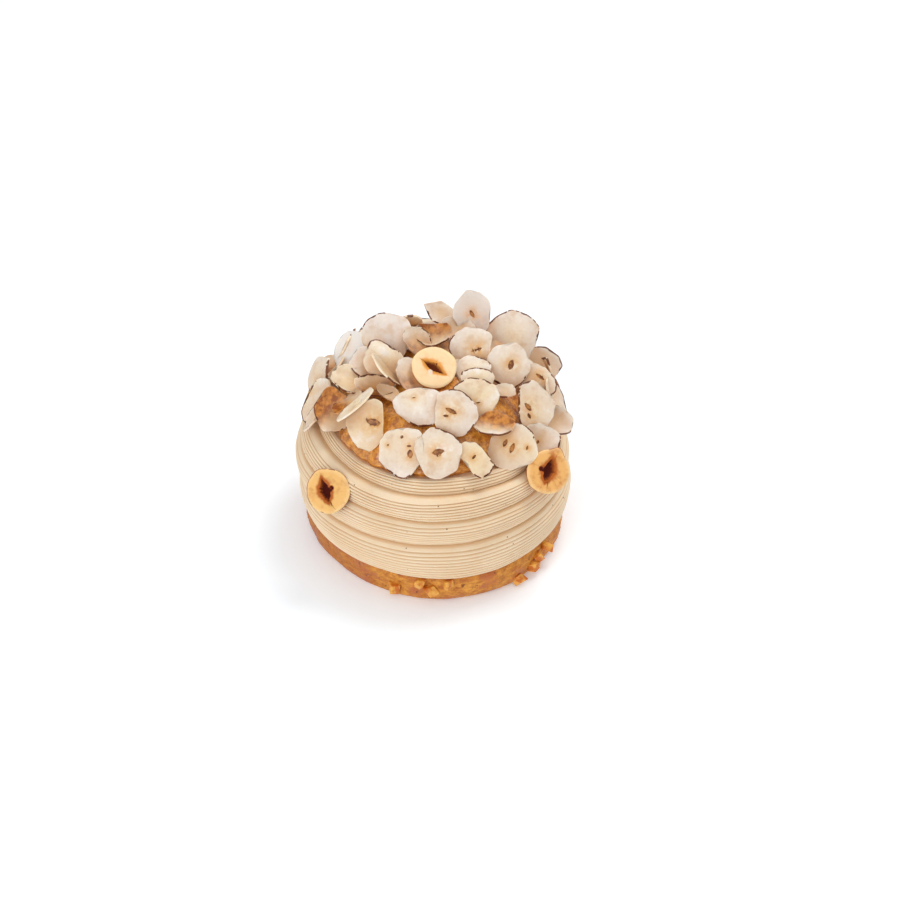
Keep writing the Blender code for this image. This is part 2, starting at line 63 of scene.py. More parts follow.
class Wire:
    """A value in a material's nodes: an operator on it adds the Math or Vector Math node for it."""

    def __init__(self, tree, socket):
        self.tree = tree
        self.socket = socket

    def node(self, kind, settings, inputs, output=0):
        """The output of a new node, with its settings put in first and then its values or links."""
        made = self.tree.nodes.new("ShaderNode" + kind)
        for name, value in settings.items():
            setattr(made, name, value)
        for name, value in inputs.items():
            if isinstance(value, Wire):
                self.tree.links.new(value.socket, made.inputs[name])
            else:
                made.inputs[name].default_value = value
        return Wire(self.tree, made.outputs[output])

    def maths(self, operation, first, second):
        kind = "VectorMath" if self.socket.type == "VECTOR" else "Math"
        return self.node(kind, {"operation": operation}, {0: first, 1: second})

    def __add__(self, other):
        return self.maths("ADD", self, other)

    def __sub__(self, other):
        return self.maths("SUBTRACT", self, other)

    def __rsub__(self, other):
        return self.maths("SUBTRACT", other, self)

    def __mul__(self, other):
        return self.maths("MULTIPLY", self, other)

    __radd__ = __add__
    __rmul__ = __mul__

    def step(self, low, high):
        """From 0 to 1, smoothly, as the value goes from low to high."""
        span = {"Value": self, "From Min": low, "From Max": high}
        return self.node("MapRange", {"interpolation_type": "SMOOTHSTEP"}, span)

    def mix(self, without, full):
        """A colour between two, by this share."""
        return self.node("Mix", {"data_type": "RGBA"}, {0: self, 6: without, 7: full}, 2)

    def clouds(self, size, detail=3.0, roughness=0.55):
        """Noise at this place, about 0.5, with features of this size."""
        inputs = {"Vector": self, "Scale": 1 / size, "Detail": detail, "Roughness": roughness}
        return self.node("TexNoise", {}, inputs)

    def bump(self, strength, distance):
        return self.node("Bump", {}, {"Strength": strength, "Distance": distance, "Height": self})


def tint(red, green, blue):
    """A colour as the eye reads it, 0 to 255, in the linear values that a shader takes."""
    shares = [value / 255 for value in (red, green, blue)]
    return (*[s / 12.92 if s < 0.04045 else ((s + 0.055) / 1.055) ** 2.4 for s in shares], 1.0)


def finish(piece, name, constants):
    """A new material on the piece: the place on the surface, and what feeds the shader."""
    made = bpy.data.materials.new(name)
    made.use_nodes = True
    tree = made.node_tree
    shader = tree.nodes["Principled BSDF"]
    for socket, value in constants.items():
        shader.inputs[socket].default_value = value
    piece.data.materials.append(made)
    place = Wire(tree, tree.nodes.new("ShaderNodeTexCoord").outputs["Object"])

    def feed(**wires):
        for socket, wire in wires.items():
            tree.links.new(wire.socket, shader.inputs[socket.replace("_", " ")])

    return place, feed


def marks_of(place, name):
    """A value that the mesh carries on its points."""
    return place.node("Attribute", {"attribute_name": name}, {}, "Fac")


def put(name, data):
    """A new object in the scene."""
    made = bpy.data.objects.new(name, data)
    bpy.context.scene.collection.objects.link(made)
    return made


def ray_at(angle):
    """A level unit direction, or one in a flat piece's own plane."""
    return Vector((math.cos(angle), math.sin(angle), 0))


def piece_from(name, points, faces, **marks):
    """A smooth mesh piece that rides on the pastry, with values on its points."""
    mesh = bpy.data.meshes.new(name)
    mesh.from_pydata([tuple(point) for point in points], [], faces)
    for mark, values in marks.items():
        layer = mesh.attributes.new(mark, "FLOAT", "POINT")
        layer.data.foreach_set("value", np.asarray(values, np.float32))
    mesh.validate()
    mesh.shade_smooth()
    return put(name, mesh)


def turned(name, profile_at, steps, mark):
    """A closed turned piece: profile_at(angle) lists (x, y, z, mark) from the axis below to that above."""
    columns = np.array([profile_at(math.tau * step / steps) for step in range(steps)])
    inner = columns[:, 1:-1]
    count = inner.shape[1]
    rows = np.vstack([columns[:1, 0], inner.reshape(-1, 4), columns[:1, -1]])
    top = len(rows) - 1
    faces = []
    for step in range(steps):
        here = 1 + step * count
        after = 1 + (step + 1) % steps * count
        faces.append((0, after, here))
        faces.append((top, here + count - 1, after + count - 1))
        faces += [(here + i, after + i, after + i + 1, here + i + 1) for i in range(count - 1)]
    return piece_from(name, rows[:, :3], faces, **{mark: rows[:, 3]})


def crust(point, depth):
    """The uneven skin of baked choux, as a distance in or out."""
    broad = noise.noise(point * 70)
    fine = noise.noise(point * 210 + Vector((3, 5, 7)))
    return depth * (broad + 0.45 * fine)


def scales(point, size):
    """The fine baked surface, from 0 in its cracks to 1 on its blisters."""
    bent = point + noise.noise_vector(point / (2.5 * size)) * (0.9 * size)
    near = noise.voronoi(bent / size)[0]
    blister = min(1, (near[1] - near[0]) / 0.55)
    grain = 0.5 + 0.5 * noise.noise(bent / (0.45 * size))
    return 0.62 * blister + 0.38 * grain


def side_curve(inner, outer, low, high, share, turn):
    """Radius and height on a swollen side, at a turn of -90 to 90 degrees from its foot to its top."""
    r = inner + (outer - inner) * abs(math.cos(turn)) ** share
    return r, (low + high) / 2 + (high - low) / 2 * math.sin(turn)


def swelling(angle, height, way, half_width):
    """A smooth swelling of an outline towards one way."""
    return height * math.exp(-((math.remainder(angle - way, math.tau) / half_width) ** 2))


def base_lean(angle):
    """How far the base swells to the left and the back, less its dent at the front left."""
    leftwards, backwards = BASE_LEAN[0] * math.cos(angle), BASE_LEAN[1] * math.sin(angle)
    return leftwards + backwards - swelling(angle, *BASE_DENT)


def base_profile(angle):
    ray = ray_at(angle)
    inner = (ray * BASE_FOOT_R * 0.6).xy
    points = [(0, 0, 0, 0.5), (*inner, 0, 0.5)]
    for ring in range(BASE_RINGS + 1):
        turn = math.pi * (ring / BASE_RINGS - 0.5)
        r, z = side_curve(BASE_FOOT_R, BASE_SIDE_R, 0, BASE_H, BASE_FULLNESS, turn)
        place = ray * r + Vector((0, 0, z))
        swell = math.cos(turn)
        height = scales(place, SCALE_SIZE)
        uneven = crust(place, 2 * CRUST_RELIEF) + base_lean(angle)
        r += swell * uneven + swell * SCALE_DEPTH * (height - 0.6)
        points.append((*(ray * r).xy, z, height))
    points += [(*inner, BASE_H, 0.5), (0, 0, BASE_H, 0.5)]
    return points


noise.seed_set(SCALE_SEED)  # noise_vector would otherwise start from the clock
base = turned("baked_base", base_profile, BASE_STEPS, "relief")
place, feed = finish(base, "golden_choux_crust", {"Specular IOR Level": 0.4, "Coat Roughness": 0.3})
relief = marks_of(place, "relief")
patches = (place * (1, 1, 1.6)).clouds(9 * MM, 3)
streaks = (place * (1, 1, 2)).clouds(2.4 * MM, 6, 0.72)
golden = streaks.step(0.24, 0.76).mix(tint(168, 86, 18), tint(240, 170, 70))
baked = patches.step(0.46, 0.66).mix(golden, tint(190, 102, 34))
across = place.node("SeparateXYZ", {}, {0: place}, 0)
baked = ((1 - across.step(-34 * MM, -12 * MM)) * 0.5).mix(baked, tint(168, 92, 50))
scorched = place.clouds(2.6 * MM, 2).step(0.66, 0.72)
baked = (scorched * 0.8).mix(baked, tint(110, 48, 14))
# Painted shade: the crust is darker down in the cracks between its blisters, where shade falls.
crack_shade = (1 - relief.step(0.08, 0.34)) * 0.45
feed(
    Base_Color=crack_shade.mix(baked, tint(132, 66, 20)),
    Roughness=0.42 + 0.3 * streaks,
    Coat_Weight=0.5 * patches.step(0.52, 0.62),
    Normal=(streaks + 0.5 * place.clouds(0.5 * MM, 3)).bump(0.8, 0.3 * MM),
)
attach(base, "root")
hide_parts("choux_base")

# Chopped hazelnut: blanched nuts cut into bits of 3 or 4 mm, pressed into the side of the base before it
# was baked, so that each is half sunk in the crust. They are toasted amber and slightly see-through.
# Each bit's way round the base, where -90 is the front, its height in mm and its size in mm.
BITS_SHOWN = (
    (-110, 3.2, 3.9), (-98, 7.6, 4.2), (-93, 5.4, 4.4), (-85, 7.8, 3.4), (-50, 2.4, 3.9),
    (-41, 3.6, 3.8), (-37, 5.6, 3.4), (-31, 6.8, 4.4),
)
BITS_HIDDEN = 9
BITS_FROM, BITS_TO = 10, 170
BIT_EDGE = 0.16 * MM


def nut_bit(bm, angle, height, size, seed):
    """A chopped piece of hazelnut, half sunk in the side of the base."""
    draw = random.Random(seed)
    way = math.radians(angle)
    r = BASE_SIDE_R + base_lean(way) + 0.3 * MM
    middle = Vector((r * math.cos(way), r * math.sin(way), max(height, size * 0.56) * MM))
    corners = []
    turn = Euler([draw.uniform(0, math.tau) for _ in range(3)])
    for sides in itertools.product((-1, 1), repeat=3):
        offset = Vector([side * draw.uniform(0.22, 0.46) for side in sides])
        offset.rotate(turn)
        corners.append(bm.verts.new(middle + offset * (size * MM)))
    hull = bmesh.ops.convex_hull(bm, input=corners)
    bmesh.ops.delete(bm, geom=hull["geom_interior"], context="VERTS")


draw = random.Random(4)
bits = list(BITS_SHOWN)
for i in range(BITS_HIDDEN):
    angle = BITS_FROM + (BITS_TO - BITS_FROM) * (i + draw.random() * 0.7) / BITS_HIDDEN
    bits.append((angle, draw.uniform(2.5, 7.5), draw.uniform(2.8, 3.8)))
bm = bmesh.new()
for seed, bit in enumerate(bits):
    nut_bit(bm, *bit, seed)
bmesh.ops.bevel(
    bm, geom=bm.edges[:], offset=BIT_EDGE, segments=2, profile=0.6, affect="EDGES", clamp_overlap=True,
)
nibs = piece_from("chopped_nuts", [v.co for v in bm.verts], [[v.index for v in f.verts] for f in bm.faces])
bm.free()
place, feed = finish(nibs, "toasted_nut_bits", {
    "Subsurface Weight": 0.4, "Subsurface Radius": (1.0, 0.6, 0.3), "Subsurface Scale": 1.0 * MM,
    "Specular IOR Level": 0.5,
})
toast = place.clouds(2.2 * MM, 3)
feed(
    Base_Color=toast.step(0.38, 0.62).mix(tint(234, 174, 76), tint(200, 108, 22)),
    Roughness=0.3 + 0.3 * toast,
    Normal=place.clouds(0.7 * MM, 3).bump(0.35, 0.2 * MM),
)
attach(nibs, "root")

# The praline cream: four bands, one on another, each piped in a ring with a fine-toothed nozzle, whose
# teeth leave the ribs. The top of each band is smooth, and rolls into the groove below the next.
# How full each band is runs from 1.4, drawn in above and below, to 2.4, nearly square. Its smooth root and
# its smooth lip are shares of its height.
#            radius       height      bulge      full  ribs  root  lip
BANDS = (
    (38.7 * MM, 10.1 * MM, 2.1 * MM, 1.7, 10, 0.00, 0.05),
    (38.5 * MM, 23.6 * MM, 2.4 * MM, 1.7, 7, 0.20, 0.04),
    (38.3 * MM, 33.0 * MM, 2.7 * MM, 2.3, 7, 0.00, 0.20),
    (34.5 * MM, 39.4 * MM, 1.7 * MM, 2.3, 5, 0.00, 0.08),
)
TOP_BAND = len(BANDS) - 1
CREAM_RIM = (31.6 * MM, 43.1 * MM)
CREAM_FLAT = 42.7 * MM
CREAM_FLAT_R = 0.66 * CREAM_FLAT
GAP = 0.3 * MM
RIB_DEPTH = 0.5 * MM
FOOT_DENT = (0.34, 0.17)  # how far the dent pushes the cream's foot in, and up
RIB_POINTS = 8
ROOT_POINTS = 8
LIP_POINTS = 9
CREAM_STEPS = 400
SPECK_PITCH = 2.3 * MM
# How far each groove is off centre, and how much higher it is on one side: (towards +X, towards +Y).
SHIFTS = ((-0.5, 0.0), (-1.1, 0.0), (-1.2, 0.0), (-0.4, -0.1), (0.1, 0.0))
TILTS = ((0.0, 0.0), (0.2, 0.1), (-0.4, 0.2), (-1.0, -0.4), (-0.3, -0.2))


def groove(index, angle):
    """Radius, height and sideways shift of the groove under a band, or of the rim above the last."""
    r, z = BANDS[index][:2] if index < len(BANDS) else CREAM_RIM
    tilt = TILTS[index]
    z += MM * (tilt[0] * math.cos(angle) + tilt[1] * math.sin(angle))
    r += MM * 0.35 * math.cos(3 * angle + 1.7 * index) + MM * 0.2 * math.cos(5 * angle + index)
    if index == 0:
        r -= FOOT_DENT[0] * swelling(angle, *BASE_DENT)
        z += FOOT_DENT[1] * swelling(angle, *BASE_DENT)
    return r, z, SHIFTS[index][0] * MM, SHIFTS[index][1] * MM


def lobe(t, full):
    """How far a band stands out of its chord, as a share of its bulge: round, and fullest near its top."""
    return (1 - abs(2 * t**1.45 - 1) ** full) ** (1 / full)


def band_point(index, angle, t, proud, cleft):
    """A point on a band's outline, t of the way up it and this far out of its smooth curve."""
    r0, z0, x0, y0 = groove(index, angle)
    r1, z1, x1, y1 = groove(index + 1, angle)
    chord = Vector((r1 - r0, z1 - z0))
    out = Vector((chord.y, -chord.x)).normalized()
    bulge, full = BANDS[index][2:4]
    offset = bulge * lobe(t, full) + proud
    r = r0 + chord.x * t + out.x * offset
    z = z0 + chord.y * t + out.y * offset
    x = r * math.cos(angle) + x0 + (x1 - x0) * t
    return x, r * math.sin(angle) + y0 + (y1 - y0) * t, z, cleft


def band_points(index, angle):
    """The outline of one band: its groove, root, ribs with thin clefts between them, and lip."""
    ribs, root, lip = BANDS[index][4:]
    round_it = ray_at(angle) + Vector((0, 0, index * 3.0))
    drift = 0.3 * noise.noise(round_it * 1.3)
    # Each point's cleft mark, 1 in the groove and between the ribs and rising under the next band's
    # overhang, says where shade is painted into the cream.
    points = [band_point(index, angle, 0, 0, 1)]
    for i in range(1, ROOT_POINTS if root else 1):
        share = i / ROOT_POINTS
        points.append(band_point(index, angle, root * share, 0, 0.6 - 0.3 * share))
    for i in range(1, RIB_POINTS * ribs):
        share = i / (RIB_POINTS * ribs)
        t = root + share * (1 - lip - root)
        edge = min(1, 12 * share) * min(1, 8 * (1 - share) + 0.2)
        phase = i / RIB_POINTS + drift * edge
        ridge = abs(math.sin(math.pi * phase)) ** 0.7
        worn = 1.05 + 0.5 * noise.noise(round_it * 2.6 + Vector((0, 0, 9 * t)))
        proud = RIB_DEPTH * worn * (ridge - 0.62) * edge
        points.append(band_point(index, angle, t, proud, (1 - ridge) * edge))
    for i in range(LIP_POINTS):
        t = 1 - lip * (1 - i / LIP_POINTS)
        points.append(band_point(index, angle, t, 0, max(0, 5 * t - 4.3) if index < TOP_BAND else 0))
    return points


def cream_profile(angle):
    ray = ray_at(angle)
    low = BASE_H + GAP
    points = [(0, 0, low, 0), (*(ray * (BANDS[0][0] - 4 * MM)).xy, low, 0)]
    for index in range(len(BANDS)):
        points += band_points(index, angle)
    points.append(band_point(TOP_BAND, angle, 1, 0, 0))
    points += [(*(ray * CREAM_FLAT_R).xy, CREAM_FLAT, 0), (0, 0, CREAM_FLAT, 0)]
    uneven = []
    for x, y, z, cleft in points:
        point = Vector((x, y, z))
        swell = 0.25 * MM * noise.noise(point * 90) + 0.06 * MM * noise.noise(point * 420)
        uneven.append((x + ray.x * swell, y + ray.y * swell, z, cleft))
    return uneven


cream = turned("ribbed_cream", cream_profile, CREAM_STEPS, "cleft")
place, feed = finish(cream, "praline_cream_paste", {
    "Subsurface Weight": 0.2, "Subsurface Radius": (1.0, 0.65, 0.4), "Subsurface Scale": 0.6 * MM,
    "Specular IOR Level": 0.35,
})
cleft = marks_of(place, "cleft")
broad = place.clouds(14 * MM, 2)
pale = broad.step(0.35, 0.65).mix(tint(236, 214, 182), tint(232, 207, 172))
# Painted shade: darker and warmer in the grooves, under each band's overhang and in the clefts between the
# ribs.
cleft_shaded = (cleft.step(0.1, 0.85) * 0.8).mix(pale, tint(206, 160, 110))
cells = place.node("TexVoronoi", {}, {"Vector": place, "Scale": 1 / SPECK_PITCH}, "Distance")
chosen = place.clouds(4.5 * MM, 1).step(0.56, 0.6)
speck = (1 - cells.step(0.07, 0.13)) * chosen
feed(
    Base_Color=(speck * 0.85).mix(cleft_shaded, tint(112, 74, 40)),
    Roughness=0.5 + 0.15 * place.clouds(1.2 * MM, 3),
    Normal=(place.clouds(0.55 * MM, 4) + 0.5 * place.clouds(2.2 * MM, 2)).bump(0.35, 0.12 * MM),
)
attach(cream, "root")
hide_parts("praline_cream")

# The choux cap: the lid cut from a second round of choux. Its crust is like the base's, with a caramel
# glaze that holds the slices, and it shows between them and along its front edge on the cream.
CAP_SEAT = CREAM_FLAT + GAP
CAP_RIM_R = 32.2 * MM
CAP_RIM_H = 2.2 * MM
CAP_TOP = 58.0 * MM
CAP_EDGE = 44.6 * MM
CAP_SHARE = 2.2
CAP_FULL = 0.85
PILE_SHARE = 2.8
PILE_FULL = 0.7
CAP_SWELLING = (0.055, math.radians(-128), math.radians(38))  # share of the radius, way and half width
CAP_STEPS = 480
CAP_RINGS = 100


def cap_height(r):
    """The height of the dome that the slices settle on, at a distance from the axis."""
    share = np.clip(r / CAP_RIM_R, 0, 1)
    low = CAP_SEAT + CAP_RIM_H
    return low + (CAP_TOP - low) * (1 - share**PILE_SHARE) ** PILE_FULL


def cap_profile(angle):
    ray = ray_at(angle)
    share = 0.945 + 0.04 * noise.noise(ray * 2.2 + Vector((4, 0, 0))) + 0.02 * noise.noise(ray * 11)
    rim = CAP_RIM_R * (share + swelling(angle, *CAP_SWELLING))
    points = [(0, 0, CREAM_FLAT, 0.5), (*(ray * (rim - MM)).xy, CREAM_FLAT - GAP, 0.5)]
    for ring in range(CAP_RINGS):
        share = math.cos(math.pi / 2 * ring / CAP_RINGS)
        r = rim * share
        z = CAP_EDGE + (CAP_TOP - CAP_EDGE) * (1 - share**CAP_SHARE) ** CAP_FULL
        place = ray * r + Vector((0, 0, z))
        height = scales(place, SCALE_SIZE)
        lift = crust(place, CRUST_RELIEF) + SCALE_DEPTH * 0.6 * (height - 0.6)
        steep = math.sqrt(r / CAP_RIM_R)
        points.append((*(ray * (r + steep * lift)).xy, place.z + lift, height))
    points.append((0, 0, CAP_TOP, 0.5))
    return points


cap = turned("glazed_cap", cap_profile, CAP_STEPS, "relief")
place, feed = finish(cap, "caramel_glazed_crust", {"Specular IOR Level": 0.5, "Coat Roughness": 0.16})
relief = marks_of(place, "relief")
patches = place.clouds(7 * MM, 2)
streaks = place.clouds(2.2 * MM, 6, 0.7)
amber = streaks.step(0.26, 0.72).mix(tint(156, 70, 6), tint(254, 178, 68))
dusted = (patches.step(0.58, 0.68) * 0.25).mix(amber, tint(222, 166, 110))
# Painted shade: the glazed crust is darker down in its cracks.
crack_shade = (1 - relief.step(0.14, 0.45)) * 0.4
feed(
    Base_Color=crack_shade.mix(dusted, tint(140, 74, 26)),
    Roughness=0.34 + 0.3 * patches.step(0.5, 0.58),
    Coat_Weight=0.8 - 0.6 * patches.step(0.48, 0.56),
    Normal=(streaks + 0.6 * place.clouds(0.5 * MM, 3)).bump(0.45, 0.22 * MM),
)
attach(cap, "root")
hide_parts("choux_cap_with_slices")

# The hazelnut slices: shelled nuts cut across about 0.6 mm thick, ivory and a little see-through, curled
# and cupped, with thin broken brown skin on their rims and a brown pit or two where the kernel was hollow.
# They lie heaped on the glazed cap, and the lowest lean on the rim of the cream.
SIGHT_RISE = math.radians(40)
SIGHT_REACH = 1.0
SIGHT_AIM = Vector((3.9 * MM, 0, 27.8 * MM))
FRAME_MIDDLE = 450
PX_PER_M = 3330
SIGHT_RIGHT = Vector((1, 0, 0))
SIGHT_UP = Vector((0, math.sin(SIGHT_RISE), math.cos(SIGHT_RISE)))
SIGHT_BACK = Vector((0, -math.cos(SIGHT_RISE), math.sin(SIGHT_RISE)))

CAD_THICK = 1.0 * MM  # how thick a slice counts as it settles
SLICE_THICK = 0.6 * MM
LAYER = 0.7 * MM
PILE_R = 37.5 * MM
CREAM_SLOPE_R = (32.2 * MM, 39.0 * MM, 42.0 * MM)
CREAM_SLOPE_Z = (45.2 * MM, 40.5 * MM, 20.0 * MM)
LIFT = (0.25, 0.45)  # how far a tilted slice is lifted, and more as it stands
FROM_ABOVE = 60 * MM

# The slices that show, from the back to the front. First the pixel of the middle, the length and width in
# mm, how far the length is turned from upright, the compass way it faces (0 is +X, -90 the front) and how
# far it leans from lying flat. Then how far its rim is cupped towards the viewer in mm, its tone from ivory
# at 0 and pinkish at 1 to white at 2 (the white above 1 is painted light, for light showing through the
# thinnest slices), the ways between which its rim has skin, its pits as (pixel, length and width in mm,
# turn), how amber it is and the way that the amber lies, and its straight sides as (way, share cut off).
# Ways are degrees in the photograph, 0 right and 90 up.
SHOWN = (
    (350, 330, 12.5, 11, 0, -150, 42, 0.6, 1.8),
    (346, 343, 13, 11, 30, 165, 68, 0.8, 0.3, (60, 140)),
    (355, 340, 12, 9, 20, 168, 66, 0.5, 0.3, (60, 140)),
    (549, 345, 9, 6.5, 10, 20, 75, 0.5, 0.4, (80, 200)),
    (513, 332, 15.8, 15.6, 40, -80, 46, -1.2, 0.9, (0, 215)),
    (418, 342, 11, 7.5, 30, -75, 44, 0.8, 0.6, (0, 80), (), (0.7, -90)),
    (386, 337, 15.5, 15.2, 30, -110, 42, -0.8, 1.2, (95, 165), ((367, 350, 0.6, 0.4, 0),)),
    (433, 334, 11, 9, 90, -95, 34, 2, 0.2, (200, 340), (), (1, 90), ((90, 0.2),)),
    (441, 312, 11, 6.5, 66, -100, 36, 0.8, 0.9, (170, 310), (), (0, 0), ((100, 0.1),)),
    (472, 305, 14.8, 11.2, 0, -92, 60, 0.5, 1.6, (), ((472, 314, 2.6, 1.2, 120),), (0.3, -70),
     ((140, 0.04), (50, 0.03))),
    (411, 313, 8.5, 6, -50, 100, 66, 0.5, 0.3, (60, 130)),
    (423, 322, 15, 12, 90, 95, 27, 0.6, 0.2, (20, 160)),
    (458, 328, 9.5, 7.5, 80, -90, 28, 0.6, 0.8, (200, 330), (), (0.4, -90)),
    (541, 363, 12.5, 11, 60, -60, 40, 0.7, 0.8, (-20, 130)),
    (473, 371, 10.5, 10.5, 30, -95, 24, -0.6, 0.7, (20, 80)),
    (472, 348, 13.6, 12.6, 60, -100, 42, -0.6, 0.8, (140, 200), ((477, 350, 3.8, 0.5, 18),), (0, 0),
     ((-10, 0.1),)),
    (508, 365, 13.2, 13, 0, -85, 48, -0.6, 0.8, (200, 330), ((511, 365, 3.2, 1.6, 70),)),
    (385, 361, 14, 10.6, 35, -70, 44, -0.9, 0.4, (30, 145)),
    (386, 371, 13, 11, 0, 19, 53, 0.5, 0.2, (-80, 60)),
    (376, 387, 12, 8.2, 80, -95, 10, 1.6, 0.2, (20, 160, 200, 340), (), (1, -80)),
    (352, 382, 14, 8.4, 68, -100, 12, 1.6, 0.2, (190, 320)),
    (370, 365, 13, 9.6, 78, -110, 26, 0.8, 1, (190, 330), (), (0.5, -40)),
    (337, 366, 12, 9, 82, -100, 8, 0.5, 0.7, (200, 340), (), (1, -90)),
    (317, 376, 14.5, 12, 0, -165, 66, -0.8, 0.7, (-60, 60), (), (0, 0), ((0, 0.08),)),
    (536, 382, 12.5, 10.5, 30, -70, 42, 0.5, 0.8, (-60, 30), ((540, 377, 3.2, 1, -35),)),
    (555, 397, 14, 11, 0, -5, 66, 0.7, 0.5, (-90, 90)),
    (411, 375, 11, 9, 0, -60, 30, 0.5, 0.7, (), (), (0.55, -100)),
    (478, 379, 9.8, 7.4, 80, -90, 30, -0.4, 0.4, (20, 165)),
    (504, 392, 7.5, 5.5, 75, -80, 14, 0.6, 0.6, (230, 300), (), (0.4, -90), ((-80, 0.2),)),
    (318, 402, 14.5, 12, 0, -160, 56, 0.7, 0.5, (100, 260), ((311, 391, 1.2, 0.5, 60),)),
    (333, 411, 13, 11.2, 10, -95, 43, 1, 0.1, (-70, 40, 150, 210), (), (1, 130)),
    (315, 417, 10.5, 7, 10, 178, 56, 0.8, 0.9),
    (533, 407, 15.4, 12.4, 0, -62, 49, 0.5, 0.6, (95, 265), ((528, 407, 3.2, 1.4, 135),
     (529, 416, 1.8, 0.9, 120)), (0, 0), ((180, 0.16),)),
    (475, 398, 14, 12.6, 80, -80, 36, -0.8, 0.2, (40, 160), ((478, 403, 1.4, 0.4, 10),), (0, 0),
     ((200, 0.12),)),
    (420, 406, 15.4, 11.6, 85, -100, 38, -1.3, 1, (235, 305), ((414, 398, 1, 0.3, 10),)),
    (349, 403, 10.5, 8, 24, 175, 36, 1, 0.2, (120, 200), (), (0.9, -100)),
    (357, 405, 14, 5.6, 34, 172, 39, 0.9, 0.4),
    (391, 394, 10, 4, 66, -105, 16, 0.4, 0.3, (), (), (0.3, 0)),
    (455, 413, 14.4, 12.6, 10, -88, 46, -0.5, 0.9, (20, 110, -60, -30), ((451, 411, 3.8, 1.3, -25),
     (446, 416, 1.6, 0.8, 0))),
    (554, 421, 11.5, 9, 60, -60, 38, 1.2, 0.8, (-110, -30)),
    (494, 425, 11.8, 8, 88, -85, 18, 1.6, 0.3, (200, 340), (), (1, 80)),
    (368, 424, 14.8, 12.2, 0, -105, 48, 0.8, 0.1, (), ((373, 422, 4.6, 2, -14),), (0, 0), ((0, 0.14),)),
    (541, 443, 12.6, 10.8, 40, -70, 44, 0.6, 0.8, (-20, 20), ((538, 442, 1.1, 0.8, 70),)),
    (475, 459, 12.6, 7.8, 38, -84, 50, 0.5, 0.1, (-95, 0), ((474, 457, 1.6, 0.7, 50),), (0, 0),
     ((218, 0.12), (38, 0.05), (128, 0.05))),
    (402, 451, 14.6, 13.2, -10, -98, 49, 0.7, 0.9, (225, 290), ((410, 454, 2.6, 1.6, 100),
     (409, 446, 1.3, 0.7, 0), (402, 437, 1.1, 0.8, 60), (388, 445, 0.6, 0.5, 0))),
    (438, 453, 14.6, 13.2, 15, -90, 49, -0.7, 0.7, (25, 100), ((438, 452, 3.8, 1.8, 12),)),
    (513, 446, 14, 14.4, 30, -80, 50, -0.6, 0.6, (20, 150), ((505, 443, 2.5, 1.2, 65),
     (512, 448, 3.3, 1.3, 68), (527, 448, 1.3, 0.6, 75))),
)
# What a row leaves out at its end: no skin, no pits, no amber and no straight sides.
PLAIN = ((), (), (0, 0), ())
# Slices that their neighbours hold up, or off the heap towards the viewer: the pixel, then both in mm.
NUDGES = {
    (472, 305): (1.2, 0), (441, 312): (1.6, 0), (411, 313): (1.4, 0), (423, 322): (0.9, 0),
    (433, 334): (0.3, 2.5), (349, 403): (0, 1.5), (357, 405): (0, 4.0), (391, 394): (0, 0.4),
}
# Slices of the far side: radius in mm, how many, lean, and degrees past the half circle at each end.
HIDDEN_RINGS = ((33.0, 7, 46, -10), (27.0, 5, 36, -15), (20.0, 4, 24, -20), (10.0, 1, 10, -20))

RIM_POINTS = 72
PIT_POINTS = 16
MESH_PITCH = 0.75 * MM
SKIN_WIDTH = 0.26 * MM
BARE_RIM = 0.1  # how readily the rim has skin outside the arcs given above
STAIN_REACH = (0.55, 0.5 * MM)  # how far a pit's stain reaches, as a share of its length and a distance
PIT_GROWTH = 1.12
PIT_DEPTH = 0.75 * SLICE_THICK
CHIP_WIDTH = 0.2
RIM_GLOW = 0.14  # how bright the painted glow on a slice's bare rim is, standing in for light coming through it
SHELTER_WAYS = 12
SHELTER_REACHES = (1.5 * MM, 3 * MM, 5 * MM, 8 * MM)


def facing(way):
    """Three axes for a flat piece that faces this way: right, up the slope, and out of it."""
    out = Vector(way).normalized()
    across = Vector((0, 0, 1)).cross(out)
    across = across.normalized() if across.length > 1e-6 else Vector((1, 0, 0))
    return across, out.cross(across), out


class Pile:
    """The cap and the slices laid on it so far, as heights on a grid seen from above."""

    CELL = 0.5 * MM
    HALF = 50 * MM
    STEP = 0.2 * MM
    STEPS = 900

    def __init__(self):
        count = int(2 * self.HALF / self.CELL)
        across = (np.arange(count) + 0.5) * self.CELL - self.HALF
        x, y = np.meshgrid(across, across, indexing="ij")
        r = np.hypot(x, y)
        self.height = np.where(r < CAP_RIM_R, cap_height(r), np.interp(r, CREAM_SLOPE_R, CREAM_SLOPE_Z))

    def cells(self, points):
        found = ((points[:, :2] + self.HALF) / self.CELL).astype(int)
        return tuple(np.clip(found, 0, len(self.height) - 1).T)

    def rest(self, place, out, length):
        """How high the middle of a slice lies over the pile, so that its lower edge digs in a little."""
        r = max(Vector(place[:2]).length, 2 * MM)
        slope = float(cap_height(r + MM) - cap_height(r - MM)) / (2 * MM)
        normal = Vector((-slope * place.x / r, -slope * place.y / r, 1)).normalized()
        rise = math.sqrt(max(0, 1 - normal.dot(out) ** 2))
        return CAD_THICK / 2 + length / 2 * rise * (LIFT[0] + LIFT[1] * rise)

    def settle(self, start, line, out, length):
        """Where the middle of a slice comes to rest on its way down the line, or under its nearest."""
        least = None
        for step in range(self.STEPS):
            place = start + line * (step * self.STEP)
            if Vector(place[:2]).length > PILE_R:
                continue
            ground = self.height[self.cells(np.array([place]))][0]
            gap = place.z - float(ground) - self.rest(place, out, length)
            if gap <= 0:
                return place
            if least is None or gap < least:
                least, nearest = gap, place
        return nearest - Vector((0, 0, least))

    def cover(self, points):
        footprint = np.zeros(self.height.shape, bool)
        footprint[self.cells(points)] = True
        self.height[footprint] += LAYER


